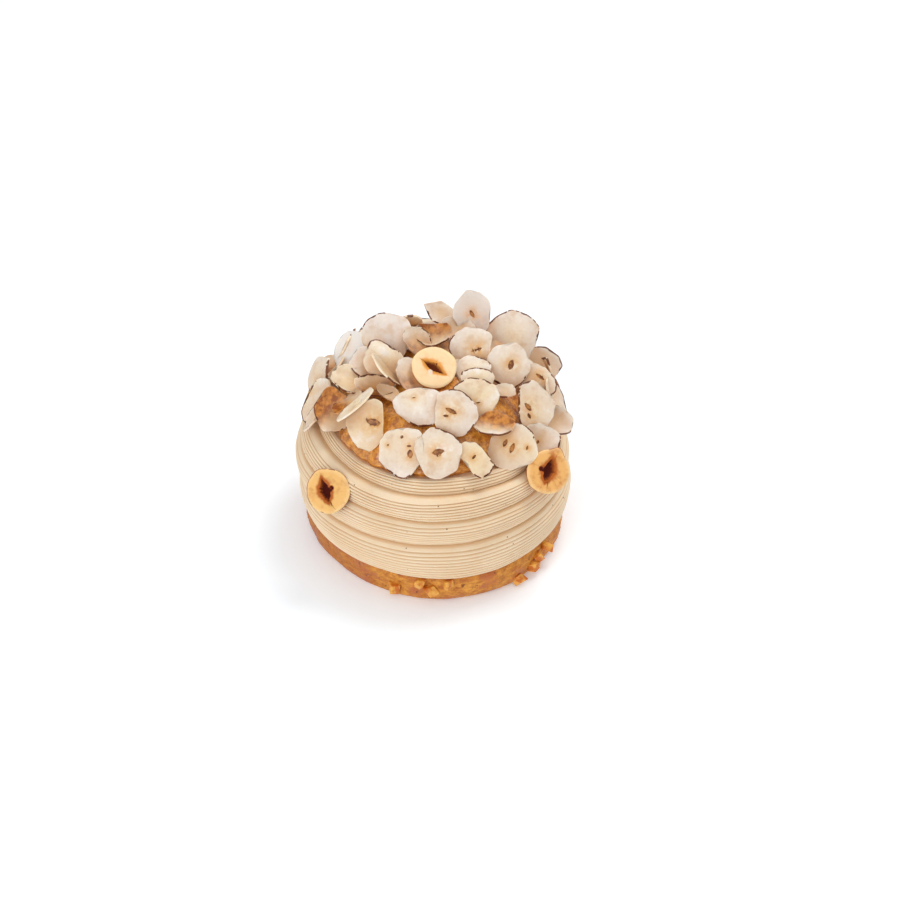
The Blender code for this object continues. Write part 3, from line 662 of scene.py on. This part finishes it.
def slice_axes(spin, compass, lean):
    """Right, long way and out of a slice that leans from flat by lean degrees towards compass."""
    lean, compass, turn = math.radians(lean), math.radians(compass), math.radians(spin)
    out = Vector((math.sin(lean) * math.cos(compass), math.sin(lean) * math.sin(compass), math.cos(lean)))
    across, up, out = facing(out)
    return across * math.cos(turn) + up * math.sin(turn), up * math.cos(turn) - across * math.sin(turn), out


def slice_samples(length, width, axes):
    """Points spread over the inner part of a slice, about its middle."""
    u, v = np.meshgrid(np.linspace(-1, 1, 41), np.linspace(-1, 1, 41))
    inside = np.hypot(u, v) <= 0.85
    u, v = u[inside] * width / 2, v[inside] * length / 2
    return u[:, None] * np.array(axes[0]) + v[:, None] * np.array(axes[1])


def sight_line(px, py):
    """The eye, and the way from it through a pixel of the photograph."""
    eye = SIGHT_AIM + SIGHT_BACK * SIGHT_REACH
    right, up = (px - FRAME_MIDDLE) / PX_PER_M, (FRAME_MIDDLE - py) / PX_PER_M
    seen = SIGHT_AIM + SIGHT_RIGHT * right + SIGHT_UP * up
    return eye, (seen - eye).normalized()


def in_plane(way, axes):
    """A way in the photograph, in degrees, as a unit direction in a flat piece's own plane."""
    seen = SIGHT_RIGHT * math.cos(math.radians(way)) + SIGHT_UP * math.sin(math.radians(way))
    return Vector((seen.dot(axes[0]), seen.dot(axes[1]))).normalized()


def slice_rim(length, width, cuts, axes, seed):
    """The rim of a slice in its own plane: an uneven oval with its straight sides cut off, and chips."""
    draw = random.Random(seed)
    lean = draw.uniform(0, math.tau)
    count = draw.choice((0, 1, 2))
    chips = [(draw.uniform(0, math.tau), draw.uniform(0.2, 0.7) * MM) for _ in range(count)]
    rim = []
    for step in range(RIM_POINTS):
        angle = math.tau * step / RIM_POINTS
        ray = ray_at(angle)
        swell = 1 + 0.05 * math.cos(3 * angle + lean) + 0.03 * math.cos(5 * angle + 2 * lean)
        swell += 0.08 * noise.noise(ray * 2.6 + Vector((0, 0, seed * 1.7)))
        swell += 0.02 * noise.noise(ray * 7 + Vector((0, 0, seed * 0.7)))
        rim.append(Vector((width / 2 * swell * ray.x, length / 2 * swell * ray.y)))
    for way, share in cuts:
        side = in_plane(way, axes)
        reach = max(point.dot(side) for point in rim)
        limit = reach * (1 - 2 * share)
        rim = [point - side * max(0, 0.94 * (point.dot(side) - limit)) for point in rim]
    for step, point in enumerate(rim):
        angle = math.tau * step / RIM_POINTS
        for place, depth in chips:
            point -= point.normalized() * swelling(angle, depth, place, CHIP_WIDTH)
    return rim


def slice_pit(px, py, length, width, turn, axes, middle):
    """An almond-shaped pit, where a pixel of the photograph falls on the slice."""
    length, width = PIT_GROWTH * length * MM, PIT_GROWTH * width * MM
    eye, line = sight_line(px, py)
    offset = eye + line * ((middle - eye).dot(axes[2]) / line.dot(axes[2])) - middle
    centre = Vector((offset.dot(axes[0]), offset.dot(axes[1])))
    along = in_plane(turn, axes)
    beside = Vector((-along.y, along.x))
    points = []
    for step in range(PIT_POINTS):
        angle = math.tau * step / PIT_POINTS
        thin = math.copysign(abs(math.sin(angle)) ** 1.4, math.sin(angle))
        ragged = 1 + 0.2 * noise.noise(ray_at(angle) * 2 + Vector((0, 0, px)))
        offset = along * (length / 2 * math.cos(angle)) + beside * (width / 2 * thin)
        points.append(centre + offset * ragged)
    return points


def inside(point, loop):
    """Whether a point lies within a closed loop."""
    found = False
    for a, b in zip(loop, loop[1:] + loop[:1]):
        if (a.y > point.y) != (b.y > point.y):
            found ^= point.x < a.x + (b.x - a.x) * (point.y - a.y) / (b.y - a.y)
    return found


def centre_of(loop):
    return sum(loop, Vector((0, 0))) / len(loop)


def inset(loop, distance):
    """A closed loop moved inwards."""
    moved = []
    for before, point, after in zip(loop[-1:] + loop[:-1], loop, loop[1:] + loop[:1]):
        along = (after - before).normalized()
        moved.append(point + Vector((-along.y, along.x)) * distance)
    return moved


def slice_plane(rim, pits):
    """The points of a slice, those of its rim first, with what they carry, and its triangles."""
    skin, pit = [1] * len(rim), [0] * len(rim)
    points = list(rim)
    for loop in pits:
        centre = centre_of(loop)
        points += loop + [centre + (point - centre) * 0.7 for point in loop] + [centre]
        skin += [0] * (2 * len(loop) + 1)
        pit += [0] * len(loop) + [1] * (len(loop) + 1)
    for ring, mark in ((1, 1), (2, 0)):
        points += inset(rim, SKIN_WIDTH * ring)
        skin += [mark] * len(rim)
    fixed = list(points)
    count = int(max(point.length for point in rim) / MESH_PITCH) + 1
    for i in range(-count, count + 1):
        for j in range(-count, count + 1):
            point = Vector(((i + 0.5 * (j % 2)) * MESH_PITCH, j * 0.87 * MESH_PITCH))
            if min((point - p).length for p in fixed) > 0.45 * MESH_PITCH and inside(point, rim):
                points.append(point)
    skin += [0] * (len(points) - len(skin))
    pit += [float(any(inside(point, loop) for loop in pits)) for point in points[len(pit):]]
    edges = [(i, (i + 1) % len(rim)) for i in range(len(rim))]
    verts, _, faces, *_ = geometry.delaunay_2d_cdt(points, edges, [], 1, 1e-9, False)
    return verts, [face for face in faces if len(face) == 3], edges, skin, pit


def in_arcs(point, axes, arcs):
    """Whether a rim point lies within one of the arcs of ways in the photograph."""
    seen = axes[0] * point.x + axes[1] * point.y
    way = math.degrees(math.atan2(seen.dot(SIGHT_UP), seen.dot(SIGHT_RIGHT)))
    return any((way - low) % 360 < (high - low) % 360 for low, high in zip(arcs[::2], arcs[1::2]))


def curl(point, length, width, cup, draws):
    """How far a point of a slice is bent out of its plane."""
    u, v = 2 * point.x / width, 2 * point.y / length
    turned_u = u * math.cos(draws[0]) + v * math.sin(draws[0])
    bowl = cup * MM * (u * u + v * v - 0.5)
    ripple = 0.5 * MM * noise.noise(Vector((point.x, point.y, draws[0])) * 160) * (u * u + v * v)
    return bowl + ripple + draws[1] * MM * (turned_u**2 - 0.4) + draws[2] * MM * turned_u * v * u


class Heap:
    """The slices' points, faces and marks, gathered into one mesh."""

    def __init__(self):
        self.points = []
        self.faces = []
        names = ("shelter", "skin", "rim", "pit", "stain", "heart", "amber", "tone")
        self.marks = {name: [] for name in names}

    def add(self, row, middle, axes, seed):
        length, width, cup, tone, arcs, pits, (amber, amber_way), cuts = row
        draw = random.Random(seed + 100)
        draws = (draw.uniform(0, math.tau), draw.uniform(-0.7, 0.9), draw.uniform(-0.7, 0.7))
        rim = slice_rim(length, width, cuts, axes, seed)
        loops = [slice_pit(*pit, axes, middle) for pit in pits]
        hearts = [(centre_of(loop), pit[2] * PIT_GROWTH * MM) for loop, pit in zip(loops, pits)]
        hearts = hearts or [(Vector((0, 0)), 2 * MM)]
        verts, triangles, edges, skin, pit = slice_plane(rim, loops)
        browned = in_plane(amber_way, axes)
        first = len(self.points)
        for side in (1, -1):
            for i, point in enumerate(verts):
                height = curl(point, length, width, cup, draws) + side * SLICE_THICK / 2
                if side > 0:
                    height -= PIT_DEPTH * pit[i]
                self.points.append(middle + axes[0] * point.x + axes[1] * point.y + axes[2] * height)
                near = [(point - heart).length for heart, _ in hearts]
                wide = [STAIN_REACH[0] * long + STAIN_REACH[1] for _, long in hearts]
                reach = min(a / b for a, b in zip(near, wide))
                far = 2 * point.dot(browned) / length
                for mark, value in (
                    ("skin", skin[i] * (1 if in_arcs(point, axes, arcs) else BARE_RIM)),
                    ("rim", i < len(rim)), ("pit", pit[i]),
                    ("stain", math.exp(-reach * reach) * (1 if loops else 0.2)),
                    ("heart", math.exp(-((min(near) / (0.3 * length)) ** 2))),
                    ("amber", amber * float(np.clip(0.6 + far, 0, 1))), ("tone", tone),
                ):
                    self.marks[mark].append(value)
        under = first + len(verts)
        self.faces += [tuple(first + i for i in face) for face in triangles]
        self.faces += [tuple(under + i for i in reversed(face)) for face in triangles]
        for i, j in edges:
            self.faces.append((first + i, under + i, under + j, first + j))


def shelter(points):
    """How far the heap rises round each point and keeps the light from it, from 0 in the open to 1."""
    around = Pile()
    for way in itertools.product((-1, 0, 1), repeat=2):
        beside = points + np.array((*way, 0)) * around.CELL
        np.maximum.at(around.height, around.cells(beside), points[:, 2])
    found = np.zeros(len(points))
    for step in range(SHELTER_WAYS):
        angle = math.tau * step / SHELTER_WAYS
        rise = np.zeros(len(points))
        for reach in SHELTER_REACHES:
            beside = points + np.array((math.cos(angle), math.sin(angle), 0)) * reach
            rise = np.maximum(rise, (around.height[around.cells(beside)] - points[:, 2]) / reach)
        found += rise / np.hypot(rise, 1) / SHELTER_WAYS
    return found


def hidden_slices():
    """Slices of the far side, as (start, line, length, width, spin, compass, lean, cut)."""
    draw = random.Random(12)
    down = Vector((0, 0, -1))
    found = []
    for radius, count, lean, past in HIDDEN_RINGS:
        for i in range(count):
            share = (i + 0.5 + draw.uniform(-0.2, 0.2)) / count
            angle = math.radians((180 + 2 * past) * share - past)
            r = (radius + draw.uniform(-1.2, 1.2)) * MM
            start = Vector((r * math.cos(angle), r * math.sin(angle), CAP_TOP + FROM_ABOVE))
            found.append((
                start, down, draw.uniform(12.5, 15), draw.uniform(11, 13.5),
                draw.uniform(0, 180), math.degrees(angle) + draw.uniform(-25, 25),
                lean + draw.uniform(-12, 12), draw.choice((0, 0, 0.15)),
            ))
    return found


pile = Pile()
heap = Heap()
laid = []
nudges = {}
draw = random.Random(7)
for start, line, *form, cut in hidden_slices():
    cup, tone = draw.uniform(-0.8, 1.2), draw.random()
    amber = (draw.choice((0, 0, 0.6)), draw.uniform(0, 360))
    arc = draw.uniform(0, 360)
    laid.append((start, line, *form, cup, tone, (arc, arc + 140), (), amber, ((150, cut),)))
for px, py, *row in SHOWN:
    row += PLAIN[len(row) - 7:]
    eye, line = sight_line(px, py)
    up, off = NUDGES.get((px, py), (0, 0))
    nudges[len(laid)] = (SIGHT_UP * up + SIGHT_BACK * off) * MM
    laid.append((eye + line * (SIGHT_REACH - FROM_ABOVE), line, *row))
for seed, (start, line, length, width, spin, compass, lean, *row) in enumerate(laid):
    length, width = length * MM, width * MM
    axes = slice_axes(spin, compass, lean)
    middle = pile.settle(start, line, axes[2], length) + nudges.get(seed, Vector())
    pile.cover(slice_samples(length, width, axes) + np.array(middle))
    heap.add((length, width, *row), middle, axes, seed)

heap.marks["shelter"] = shelter(np.array(heap.points))
slices = piece_from("hazelnut_slices", heap.points, heap.faces, **heap.marks)
slices.data.set_sharp_from_angle(angle=math.radians(45))
place, feed = finish(slices, "ivory_nut_slices", {
    "Subsurface Weight": 0.3, "Subsurface Radius": (1.0, 0.85, 0.7), "Subsurface Scale": 0.6 * MM,
    "Specular IOR Level": 0.5, "Emission Strength": 1.0,
})
shade, skin, rim, pit, stain, heart, amber, tone = [marks_of(place, mark) for mark in heap.marks]
flesh = tone.mix(tint(230, 212, 180), tint(226, 215, 205))
flesh = (heart * 0.8).mix(flesh, tone.mix(tint(238, 216, 168), tint(236, 218, 186)))
patches = place.clouds(5 * MM, 3, 0.6)
# Painted shade, placed at random: tan patches stand in for shade and for the dark cap showing through the
# slices.
flesh = (patches.step(0.48, 0.72) * 0.6).mix(flesh, tint(206, 168, 126))
flesh = (1 - patches.step(0.28, 0.46)).mix(flesh, tint(238, 229, 216))
flesh = (place.clouds(0.9 * MM, 3).step(0.5, 0.7) * 0.12).mix(flesh, tint(196, 150, 118))
flesh = (shade.step(0.28, 0.78) * 0.72).mix(flesh, tint(210, 164, 116))
# Painted light: a tone over 1 whitens the slice, for light showing through it.
flesh = (tone - 1).step(0, 1).mix(flesh, tint(240, 236, 230))
honey = place.clouds(2 * MM, 3).step(0.35, 0.65).mix(tint(146, 76, 12), tint(210, 140, 58))
flesh = (amber * (0.7 + 0.6 * place.clouds(3.5 * MM, 3))).step(0, 0.95).mix(flesh, honey)
stained = (stain * place.clouds(2 * MM, 2).step(0.3, 0.6) * 0.85).mix(flesh, tint(216, 156, 76))
hollow = place.clouds(1.2 * MM, 2).step(0.4, 0.64).mix(tint(116, 64, 26), tint(186, 126, 62))
opened = pit.step(0.1, 0.75).mix(stained, hollow)
broken = (place.clouds(1.4 * MM, 2) + 0.42 * skin).step(0.77, 0.82)
# Painted light: the bare rims glow, for light coming through the thin slices.
lit = rim * (1 - broken) * RIM_GLOW
feed(
    Base_Color=broken.mix(opened, tint(118, 66, 34)),
    Emission_Color=lit.mix((0, 0, 0, 1), (1.0, 0.8, 0.56, 1)),
    Roughness=0.3 + 0.2 * place.clouds(1.5 * MM, 3),
    Normal=(place.clouds(0.9 * MM, 3) + 0.6 * place.clouds(3 * MM, 2)).bump(0.35, 0.15 * MM),
)
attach(slices, "root")
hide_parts("choux_cap_with_slices")

# The three hazelnut halves: toasted nuts split in two, each with a ragged hollow in its cut face. One
# crowns the heap and is pale. Two are pressed into the cream, browner, and keep some of their skin.
NUT_R = 6.6 * MM
NUT_DEPTH = 6.2 * MM
NUT_STEPS = 240
FACE_RINGS = 30
BACK_RINGS = 34
HOLLOW_RINGS = 14
RING_REACH = 1.0 * MM
# The middle of the cut face in mm and the way that it faces. Then, as ways in the photograph, where it is
# drawn out, by what share and over what half width; the hollow's middle in mm, the way of its length, its
# half length, half width and depth; the cracks from it as (way, length); small pits as (x, y, size) and a
# pale chip; the arcs of the rim with skin; and the colours of the flesh, of the toasted ring, of the
# hollow and of the skin, and how patchy it is.
HALVES = {
    "half_on_top": {
        "node": "hazelnut_half_top", "place": (-0.7, -2.9, 61.9), "way": (0.12, -0.50, 0.86),
        "corners": ((25, 0.05, 25), (160, 0.04, 25)), "hollow": (-0.2, 0.2, -34, 3.8, 1.35, 1.6),
        "cracks": ((146, 4.2), (-34, 4.4)), "pits": ((0.8, 1.2, 0.3), (0.7, 0.2, 0.2)),
        "chip": (-1.2, -1.5, 0.7), "skin": (),
        "colours": ((250, 216, 168), (232, 160, 70), (112, 44, 10), (206, 146, 84)), "patchy": 0.15,
    },
    "half_at_left": {
        "node": "hazelnut_half_left", "place": (-31.9, -29.0, 36.5), "way": (-0.28, -0.75, 0.60),
        "corners": ((120, 0.07, 18), (-75, 0.03, 24), (5, 0.05, 50)),
        "hollow": (-0.8, 0.0, 108, 3.5, 1.8, 2.6),
        "cracks": ((-63, 5.6), (108, 4.4)), "pits": ((1.1, 0.9, 0.75), (0.9, 0.1, 0.4)),
        "chip": None, "skin": (70, 262),
        "colours": ((234, 184, 106), (186, 98, 24), (92, 20, 8), (146, 78, 38)), "patchy": 0.4,
    },
    "half_at_right": {
        "node": "hazelnut_half_right", "place": (32.7, -25.6, 41.0), "way": (0.30, -0.74, 0.60),
        "corners": ((62, 0.2, 15), (-150, 0.03, 30)), "hollow": (0.2, 0.4, 70, 3.9, 1.8, 2.4),
        "cracks": ((-97, 5.2), (60, 4.6)), "pits": ((-2.1, 0.9, 0.85), (-1.5, 0.4, 0.5)),
        "chip": None, "skin": (40, 90),
        "colours": ((232, 178, 104), (188, 100, 24), (92, 24, 8), (176, 106, 44)), "patchy": 0.6,
    },
}


def way_angle(way, axes):
    """A way in the photograph as an angle in a flat piece's own plane."""
    seen = in_plane(way, axes)
    return math.atan2(seen.y, seen.x)


def half_nut(name, form, seed):
    """The cut face with its spindle-shaped ragged hollow, and the round back."""
    axes = facing(form["way"])
    middle = Vector(form["place"]) * MM
    corners = [(share, way_angle(way, axes), math.radians(wide)) for way, share, wide in form["corners"]]
    cracks = [(way_angle(way, axes), long * MM) for way, long in form["cracks"]]
    right, above = in_plane(0, axes), in_plane(90, axes)

    def spot(x, y):
        return (right * x + above * y) * MM

    x, y, turn, half_length, half_width, depth = form["hollow"]
    hollow_at, along, depth = spot(x, y), way_angle(turn, axes), depth * MM
    pits = [(spot(x, y), size * MM) for x, y, size in form["pits"]]
    points, marks = [], {"hollow": [], "back": [], "rim": [], "chip": [], "fibre": []}

    def nut_rim(angle):
        reach = 1 + 0.02 * noise.noise(ray_at(angle) * 2 + Vector((0, 0, seed + 5)))
        for corner in corners:
            reach += swelling(angle, *corner)
        return ray_at(angle).xy * (NUT_R * 0.985 * reach)

    def hollow_edge(angle):
        long = abs(math.cos(angle - along)) / half_length
        wide = abs(math.sin(angle - along)) / half_width
        ragged = 1 + 0.22 * noise.noise(Vector((3 * math.cos(angle), 3 * math.sin(angle), seed)))
        reach = ragged * MM / (long**1.3 + wide**1.3) ** (1 / 1.3)
        for way, crack in cracks:
            reach = max(reach, crack * math.exp(-abs(math.remainder(angle - way, math.tau) / 0.05) ** 1.2))
        return hollow_at + ray_at(angle).xy * reach

    def chip_share(flat):
        if not form["chip"]:
            return 0
        x, y, size = form["chip"]
        off = flat - spot(x, y)
        return math.exp(-((off.dot(right) / (size * MM)) ** 4) - (off.dot(above) / (1.3 * size * MM)) ** 4)

    def add(flat, height, in_hollow, on_back):
        rough = 0.10 * MM * noise.noise(Vector((flat.x * 350, flat.y * 350, seed + 300 * height)))
        for place, size in pits:
            sunk = math.exp(-(((flat - place).length / size) ** 4)) * (1 - on_back)
            in_hollow = max(in_hollow, sunk)
            height -= 0.8 * size * sunk
        pale = chip_share(flat) * (1 - on_back)
        height = height * (1 - pale) - 0.1 * MM * pale
        points.append(middle + axes[0] * flat.x + axes[1] * flat.y + axes[2] * (height + rough))
        edge = flat.length / nut_rim(math.atan2(flat.y, flat.x)).length
        for mark, value in (("hollow", in_hollow), ("back", on_back), ("rim", edge), ("chip", pale)):
            marks[mark].append(value)
        ray = flat.normalized()
        marks["fibre"].append(noise.noise(Vector((ray.x * 14, ray.y * 14, seed + flat.length * 200))))

    add(hollow_at, -depth, 1, 0)
    for ring in range(1, HOLLOW_RINGS + FACE_RINGS + BACK_RINGS):
        for step in range(NUT_STEPS):
            angle = math.tau * step / NUT_STEPS
            edge, rim = hollow_edge(angle), nut_rim(angle)
            if ring <= HOLLOW_RINGS:
                share = ring / HOLLOW_RINGS
                add(hollow_at.lerp(edge, share), -depth * (1 - share**3.0) ** 0.8, 1 - share**3 * 0.6, 0)
            elif ring <= HOLLOW_RINGS + FACE_RINGS:
                share = (ring - HOLLOW_RINGS) / FACE_RINGS
                near = math.exp(-(((rim - edge).length * share / RING_REACH) ** 2))
                dish = -0.3 * MM * near - 0.25 * MM * max(0, share - 0.88) / 0.12
                skinned = max(0, share - 0.9) * 10 if in_arcs(rim, axes, form["skin"]) else 0
                add(edge.lerp(rim, share), dish, 0.4 * near, skinned)
            else:
                share = (ring - HOLLOW_RINGS - FACE_RINGS) / BACK_RINGS
                around = math.sin(math.pi / 2 * share)
                height = -0.25 * MM - (NUT_DEPTH - 0.25 * MM) * around
                add(rim * math.sqrt(max(0, 1 - around**2.2)), height, 0, 1)
    add(Vector((0, 0)), -NUT_DEPTH, 0, 1)
    faces = []
    last = len(points) - 1
    for step in range(NUT_STEPS):
        after = (step + 1) % NUT_STEPS
        faces.append((0, 1 + step, 1 + after))
        end = last - NUT_STEPS
        faces.append((last, end + after, end + step))
        for ring in range(HOLLOW_RINGS + FACE_RINGS + BACK_RINGS - 2):
            a, b = 1 + ring * NUT_STEPS, 1 + (ring + 1) * NUT_STEPS
            faces.append((a + step, b + step, b + after, a + after))
    return piece_from(name, points, faces, **marks)


for seed, (name, form) in enumerate(HALVES.items()):
    half = half_nut(name, form, seed)
    flesh, ring, pith, rind = [tint(*colour) for colour in form["colours"]]
    place, feed = finish(half, name + "_flesh", {
        "Subsurface Weight": 0.3, "Subsurface Radius": (1.0, 0.6, 0.3), "Subsurface Scale": 1.2 * MM,
        "Specular IOR Level": 0.45,
    })
    hollow = marks_of(place, "hollow")
    fibre = marks_of(place, "fibre")
    grain = place.clouds(2.5 * MM, 3)
    cut = ((grain + 0.06 * fibre).step(0.44, 0.7) * form["patchy"]).mix(flesh, ring)
    cut = (marks_of(place, "rim").step(0.78, 1.0) * 0.4).mix(cut, tint(250, 224, 172))
    toasted = (hollow + 0.3 * (grain - 0.5)).step(0.02, 0.34).mix(cut, ring)
    burnt = (hollow + 0.4 * (place.clouds(0.9 * MM, 2) - 0.5)).step(0.42, 0.9).mix(toasted, pith)
    chipped = marks_of(place, "chip").step(0.3, 0.7).mix(burnt, tint(238, 218, 192))
    skin = marks_of(place, "back").step(0.2, 0.8) * place.clouds(2.5 * MM, 3).step(0.34, 0.44)
    feed(
        Base_Color=skin.mix(chipped, rind),
        Roughness=0.4 + 0.2 * grain + 0.5 * hollow,
        Normal=(place.clouds(0.8 * MM, 3) + 0.5 * grain + 0.1 * fibre).bump(0.3, 0.15 * MM),
    )
    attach(half, "root")
    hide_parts(form["node"])

# The room: a white floor, a large soft light above and behind at the right, a fill from the front, and
# the photograph's own camera.
FLOOR_HALF = 3.0
SENSOR = 36.0
FRAME_PX = 900

floor = put("floor", bpy.data.meshes.new("floor"))
corners = [(x * FLOOR_HALF, y * FLOOR_HALF, 0) for x, y in ((-1, -1), (1, -1), (1, 1), (-1, 1))]
floor.data.from_pydata(corners, [], [(0, 1, 2, 3)])
place, feed = finish(floor, "white_table", {
    "Base Color": (0.88, 0.945, 0.99, 1), "Roughness": 0.7,
    "Emission Color": (1.0, 0.97, 1.0, 1), "Emission Strength": 0.16,
})


def soft_light(name, place, aim, size, power, colour):
    lamp = bpy.data.lights.new(name, "AREA")
    lamp.shape = "DISK"
    lamp.size = size
    lamp.energy = power
    lamp.color = colour
    light = put(name, lamp)
    light.location = place
    light.rotation_euler = (Vector(place) - Vector(aim)).to_track_quat("Z", "Y").to_euler()


soft_light("key", (0.25, 0.20, 0.80), (0, 0, 0.03), 0.36, 2.4, (1.0, 0.98, 0.96))
soft_light("fill", (-0.4, -0.75, 0.55), (0, 0, 0.03), 0.6, 2.7, (1.0, 0.99, 0.98))
world = bpy.data.worlds.new("studio")
world.use_nodes = True
sky = world.node_tree.nodes["Background"].inputs
sky["Color"].default_value = (1.0, 0.99, 1.0, 1)
sky["Strength"].default_value = 0.68
bpy.context.scene.world = world
bpy.context.scene.view_settings.view_transform = "Standard"

camera = put("camera", bpy.data.cameras.new("camera"))
camera.data.sensor_width = SENSOR
camera.data.lens = PX_PER_M * SIGHT_REACH * SENSOR / FRAME_PX
camera.location = SIGHT_AIM + SIGHT_BACK * SIGHT_REACH
camera.rotation_euler = SIGHT_BACK.to_track_quat("Z", "Y").to_euler()
bpy.context.scene.camera = camera
